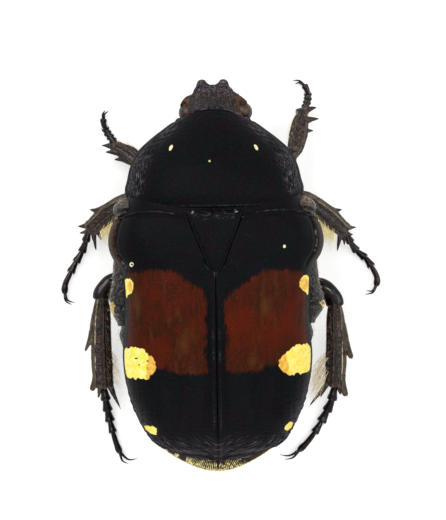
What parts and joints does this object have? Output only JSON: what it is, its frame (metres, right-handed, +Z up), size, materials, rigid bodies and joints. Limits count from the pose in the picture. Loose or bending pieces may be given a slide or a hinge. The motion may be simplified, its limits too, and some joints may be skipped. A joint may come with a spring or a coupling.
{
  "type": "flower chafer beetle specimen",
  "caption": "Life-size still model of a velvety black and rust-red flower chafer with yellow wing-case spots, standing on its feet with its legs spread.",
  "frame": {"origin": "floor level, under the middle of the body's length and on its midline", "axes": "+Z up, head towards -Y, the animal's own left side towards +X"},
  "size_m": [0.013, 0.0156, 0.0069],
  "materials": {
    "punctured_cuticle": "dark brown-black beetle cuticle with dense pits, satin",
    "eye": "dark brown faceted insect eye, glossy",
    "polished_cuticle": "smooth glossy black beetle cuticle",
    "black_velvet_cuticle": "matte velvety black beetle cuticle",
    "wing_case": "matte velvety wing case, black with a rust-red panel and yellow spots",
    "spotted_cuticle": "black cuticle covered with a cream-yellow chalky marking",
    "ridged_cuticle": "black beetle cuticle with lengthwise ridges and short golden hairs"
  },
  "bodies": {
    "root": {"head": "punctured_cuticle", "eye_left": "eye", "eye_right": "eye", "antenna_left": "polished_cuticle", "antenna_right": "polished_cuticle", "pronotum": "black_velvet_cuticle", "scutellum": "black_velvet_cuticle", "elytron_left": "wing_case", "elytron_right": "wing_case", "thorax": "punctured_cuticle", "abdomen": "polished_cuticle", "pygidium": "spotted_cuticle", "femur_front_left": "polished_cuticle", "femur_front_right": "polished_cuticle", "femur_middle_left": "polished_cuticle", "femur_middle_right": "polished_cuticle", "femur_hind_left": "polished_cuticle", "femur_hind_right": "polished_cuticle", "tibia_front_left": "ridged_cuticle", "tibia_front_right": "ridged_cuticle", "tibia_middle_left": "ridged_cuticle", "tibia_middle_right": "ridged_cuticle", "tibia_hind_left": "ridged_cuticle", "tibia_hind_right": "ridged_cuticle", "tarsus_front_left": "polished_cuticle", "tarsus_front_right": "polished_cuticle", "tarsus_middle_left": "polished_cuticle", "tarsus_middle_right": "polished_cuticle", "tarsus_hind_left": "polished_cuticle", "tarsus_hind_right": "polished_cuticle"}
  },
  "joints": []
}
